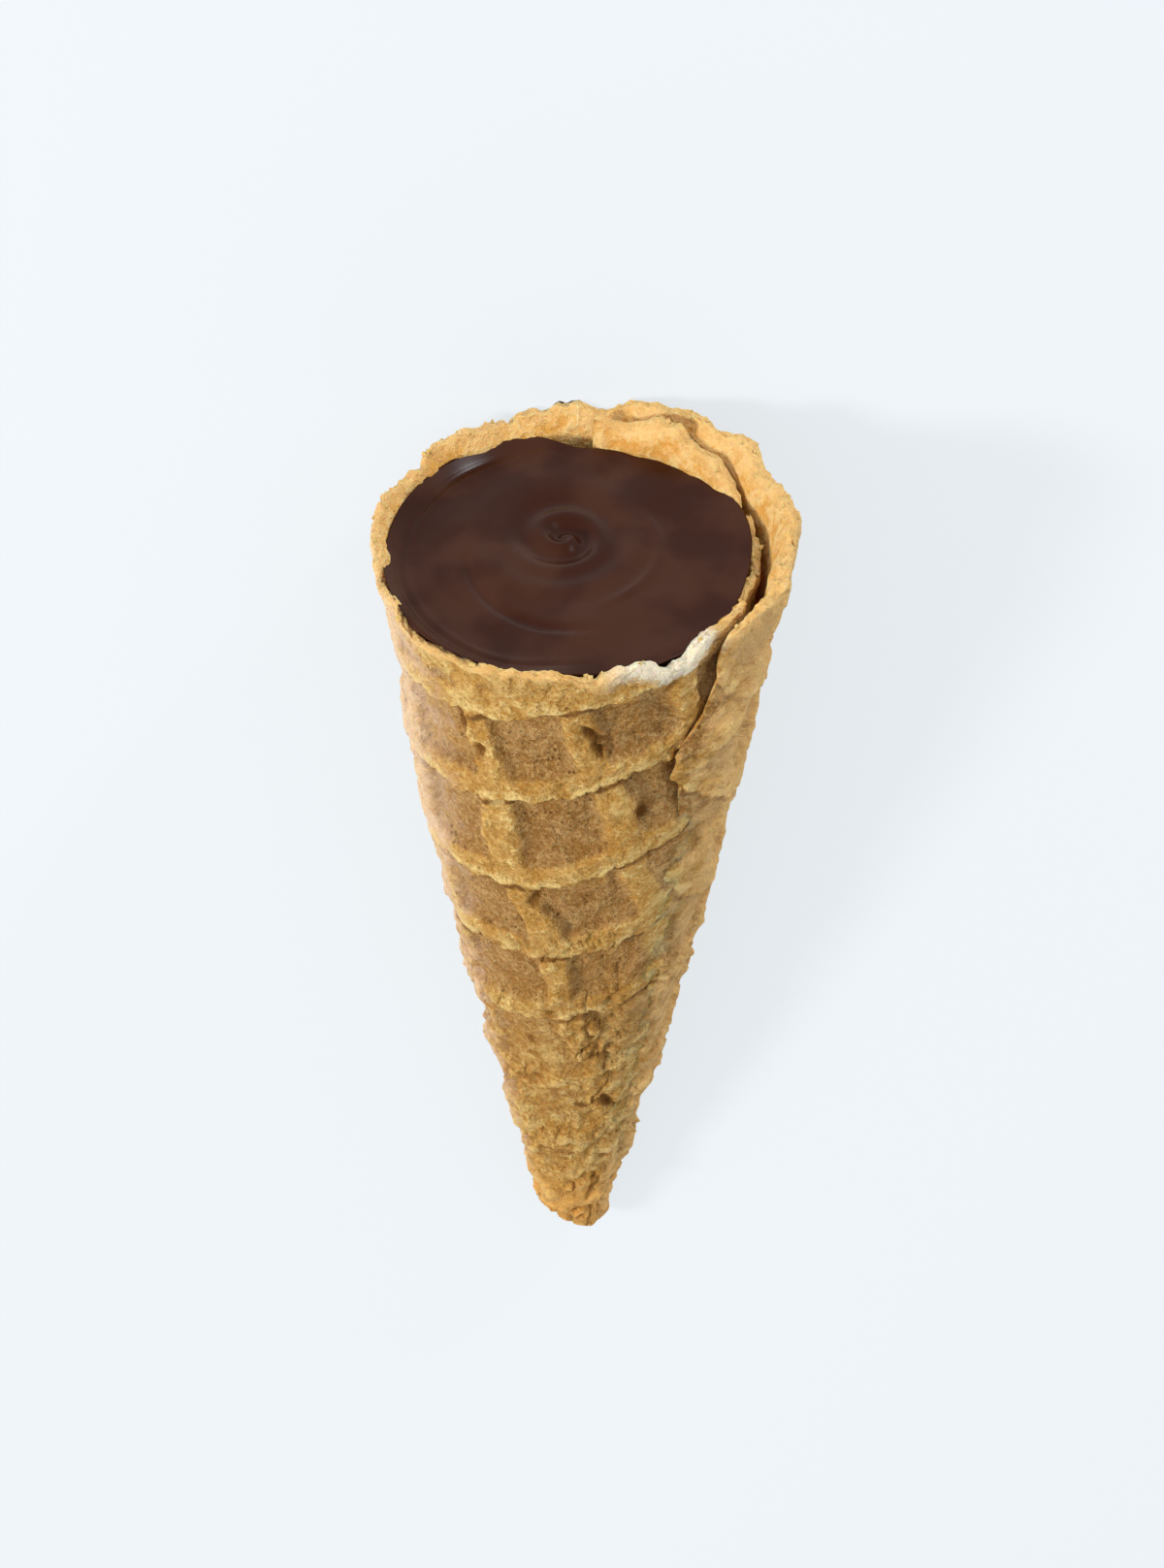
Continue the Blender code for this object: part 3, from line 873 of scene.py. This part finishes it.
def area_lamp(name, place, aim, size, power, colour):
    data = bpy.data.lights.new(name, "AREA")
    data.shape = "DISK"
    data.size = size
    data.energy = power
    data.color = colour
    lamp = bpy.data.objects.new(name, data)
    lamp.location = place
    lamp.rotation_euler = (Vector(aim) - Vector(place)).to_track_quat("-Z", "Y").to_euler()
    bpy.context.scene.collection.objects.link(lamp)
    return lamp


def floor_material(settings):
    """A pale floor whose shadows look thinner to the eye than they light the cone."""
    paint = Paint("pale_floor")
    paint.finish(Base_Color=(*settings.floor_colour, 1), Roughness=0.9, Specular_IOR_Level=0.0)
    rays = paint.node("ShaderNodeLightPath").socket.node.outputs
    seen = Shade(paint, rays["Is Camera Ray"]).largest(Shade(paint, rays["Is Glossy Ray"]))
    seen = seen.largest(Shade(paint, rays["Is Transmission Ray"]))
    glow = paint.node("ShaderNodeEmission", None, {"Color": (*settings.backdrop_colour, 1), "Strength": 1.0})
    lit = Shade(paint, paint.shader.outputs[0])
    mixed = paint.node("ShaderNodeMixShader", None, {0: seen * settings.backdrop_share, 1: lit, 2: glow})
    paint.tree.links.new(mixed.socket, paint.tree.nodes["Material Output"].inputs["Surface"])
    return paint.material


CAMERA_AIM = RIM_CENTRE + Vector((-0.76, 28.15, 1.0)) * MM
CAMERA_AWAY = 500 * MM
CAMERA_HEIGHT = math.radians(56.64)
CAMERA_SIDE = math.radians(-0.15)
CAMERA_ROLL = math.radians(178.7)


class CONE_OT_stage(Operator):
    """Sets the floor, the lamps and the camera."""

    bl_idname = "cone.stage"
    bl_label = "Floor, lamps and camera"

    def execute(self, context):
        settings, scene = context.scene.cone_stage, context.scene
        mesh = bmesh.new()
        under = Matrix.Translation((0, 0, -0.05 * MM))
        bmesh.ops.create_grid(mesh, x_segments=1, y_segments=1, size=3, matrix=under)
        data = bpy.data.meshes.new("floor")
        mesh.to_mesh(data)
        mesh.free()
        data.materials.append(floor_material(settings))
        floor = bpy.data.objects.new("floor", data)
        scene.collection.objects.link(floor)
        area_lamp("key_lamp", (0.55, -0.10, 0.50), CAMERA_AIM, 0.16, settings.key_power, (1.0, 0.975, 0.94))
        window = CAMERA_AIM + Vector((-0.34, -0.50, 0.13))
        area_lamp("low_window", window, CAMERA_AIM, 0.09, settings.window_power, (0.93, 0.97, 1.0))
        world = bpy.data.worlds.new("even_light")
        world.use_nodes = True
        world.node_tree.nodes["Background"].inputs["Color"].default_value = (0.94, 0.97, 1.0, 1)
        world.node_tree.nodes["Background"].inputs["Strength"].default_value = settings.sky_strength
        scene.world = world
        camera_data = bpy.data.cameras.new("camera")
        camera_data.lens = settings.lens
        camera_data.clip_start = 0.01
        camera = bpy.data.objects.new("camera", camera_data)
        flat = math.cos(CAMERA_HEIGHT)
        away = Vector((math.sin(CAMERA_SIDE) * -flat, -math.cos(CAMERA_SIDE) * flat, math.sin(CAMERA_HEIGHT)))
        turned = (-away).to_track_quat("-Z", "Y") @ Quaternion((0, 0, 1), CAMERA_ROLL)
        camera.location = CAMERA_AIM + away * CAMERA_AWAY
        camera.rotation_euler = turned.to_euler()
        scene.collection.objects.link(camera)
        scene.camera = camera
        scene.view_settings.view_transform = "Standard"
        return {"FINISHED"}


class CONE_PT_panel(Panel):
    """Lists the cone's pieces."""

    bl_label = "Filled waffle cone"
    bl_idname = "CONE_PT_panel"
    bl_space_type = "VIEW_3D"
    bl_region_type = "UI"
    bl_category = "Cone"

    def draw(self, context):
        for kind in PIECES:
            self.layout.operator(kind.bl_idname)
        for name in ("cone_wafer", "cone_filling", "cone_crumbs", "cone_stage"):
            settings = getattr(context.scene, name)
            box = self.layout.box()
            for prop in settings.bl_rna.properties:
                if prop.identifier not in ("rna_type", "name"):
                    box.prop(settings, prop.identifier)


PIECES = (CONE_OT_wafer, CONE_OT_filling, CONE_OT_crumbs, CONE_OT_stage)
CLASSES = (WaferSettings, FillingSettings, CrumbSettings, StageSettings, *PIECES, CONE_PT_panel)


def register():
    for kind in CLASSES:
        bpy.utils.register_class(kind)
    bpy.types.Scene.cone_wafer = PointerProperty(type=WaferSettings)
    bpy.types.Scene.cone_filling = PointerProperty(type=FillingSettings)
    bpy.types.Scene.cone_crumbs = PointerProperty(type=CrumbSettings)
    bpy.types.Scene.cone_stage = PointerProperty(type=StageSettings)


def unregister():
    del bpy.types.Scene.cone_wafer, bpy.types.Scene.cone_filling
    del bpy.types.Scene.cone_crumbs, bpy.types.Scene.cone_stage
    for kind in reversed(CLASSES):
        bpy.utils.unregister_class(kind)


def main():
    register()
    bpy.ops.cone.stage()
    bpy.ops.cone.wafer()
    bpy.ops.cone.filling()
    bpy.ops.cone.crumbs()


if __name__ == "__main__":
    main()
